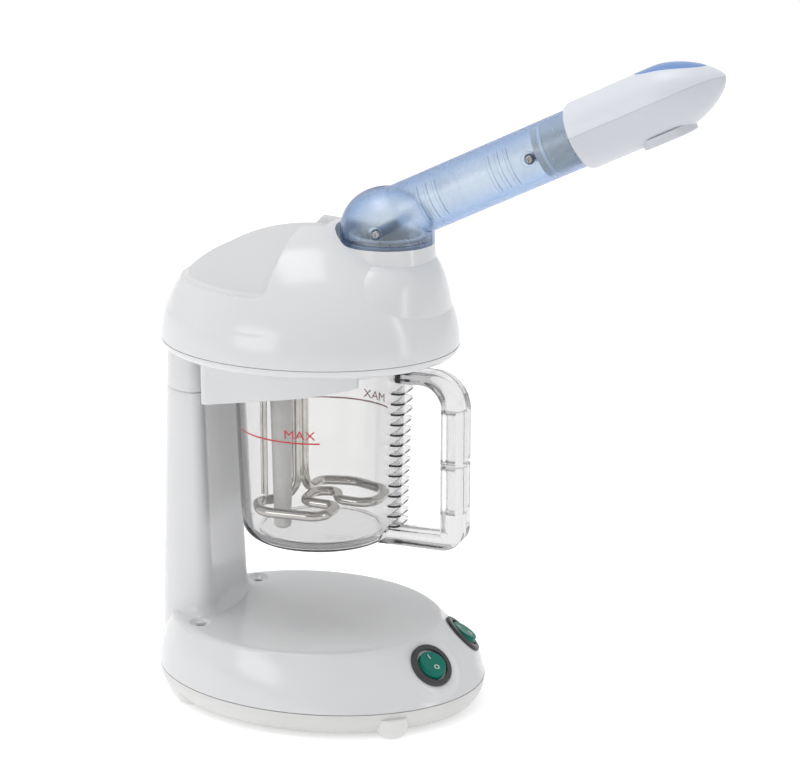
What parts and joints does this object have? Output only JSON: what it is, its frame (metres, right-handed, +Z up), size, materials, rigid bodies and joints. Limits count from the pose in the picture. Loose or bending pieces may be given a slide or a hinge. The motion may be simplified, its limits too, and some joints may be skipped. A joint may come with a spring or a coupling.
{
  "type": "facial steamer",
  "caption": "Table-top facial steamer with a clear water jar hung under a domed heater head on a column, and a turning tinted steam arm that ends in a turning outlet nozzle.",
  "frame": {"origin": "on the table, under the middle of the whole object's footprint", "axes": "+Z up; -Y towards the front, where the arm points and the switches and jar handle are; +X to the right of someone who stands behind the object and looks to its front"},
  "size_m": [0.165, 0.3524, 0.4088],
  "materials": {
    "shell": "moulded gloss",
    "tray": "moulded satin",
    "foot": "soft satin",
    "clear": "clear polished",
    "blue_clear": "clear tinted",
    "bezel": "satin",
    "rocker": "tinted translucent",
    "steel": "polished tube",
    "sleeve": "glazed",
    "screw": "plated",
    "brass": "machined",
    "seal": "translucent silicone",
    "board": "solder mask",
    "black": "matt",
    "wire": "insulation",
    "inner_white": "moulded satin",
    "lamp": "quartz"
  },
  "bodies": {
    "base": {"base_screws": "screw", "base_shell": "shell", "base_tray": "tray", "board_screws": "screw", "capacitor": "black", "cord_gland": "black", "feet": "foot", "foot_screws": "screw", "head_dome": "shell", "head_lower_shell": "shell", "head_screws": "screw", "heater": "steel", "heater_ends": "brass", "heater_nuts": "brass", "heater_plate": "steel", "lamp_holder": "sleeve", "level_rods": "steel", "neck_clip": "screw", "ozone_board": "board", "ozone_lamp": "lamp", "plate_screws": "screw", "probe_sleeve": "sleeve", "rod_bushes": "seal", "steam_duct": "inner_white", "switch_housing_left": "bezel", "switch_housing_right": "bezel", "switch_terminals_left": "brass", "switch_terminals_right": "brass", "terminal_block": "inner_white", "thermostat": "black", "transformer": "black", "wiring_loom": "wire"},
    "rocker_left": {"rocker_left": "rocker"},
    "rocker_right": {"rocker_right": "rocker"},
    "jar_carrier": {"jar_seal": "seal"},
    "jar": {"jar": "clear"},
    "arm": {"arm_shell_left": "blue_clear", "arm_shell_right": "blue_clear", "arm_screws": "screw"},
    "nozzle": {"nozzle_upper_shell": "shell", "nozzle_lower_shell": "shell", "nozzle_inset": "blue_clear", "outlet_grille": "inner_white", "nozzle_sleeve": "inner_white", "nozzle_o_ring": "seal", "nozzle_screw": "screw"}
  },
  "joints": [
    {"name": "arm_swivel", "type": "hinge", "parent": "base", "child": "arm", "pos_m": [0, 0.0244, 0.2912], "axis": [0, 0, 1], "continuous": true},
    {"name": "nozzle_swivel", "type": "hinge", "parent": "arm", "child": "nozzle", "pos_m": [0, 0.0244, 0.30375], "axis": [0, -0.9003, 0.4352], "continuous": true},
    {"name": "jar_drop", "type": "slide", "parent": "base", "child": "jar_carrier", "axis": [0, 0, -1], "range_m": [0, 0.048]},
    {"name": "jar_twist", "type": "hinge", "parent": "jar_carrier", "child": "jar", "pos_m": [0, 0.0687, 0.158], "axis": [0, 0, 1], "range_deg": [-25, 25]},
    {"name": "rocker_left_tilt", "type": "hinge", "parent": "base", "child": "rocker_left", "pos_m": [-0.02805, -0.01452, 0.03665], "axis": [0.9026, -0.4305, 0], "range_deg": [0, 24]},
    {"name": "rocker_right_tilt", "type": "hinge", "parent": "base", "child": "rocker_right", "pos_m": [0.02805, -0.01452, 0.03665], "axis": [0.9026, 0.4305, 0], "range_deg": [0, 24]}
  ]
}
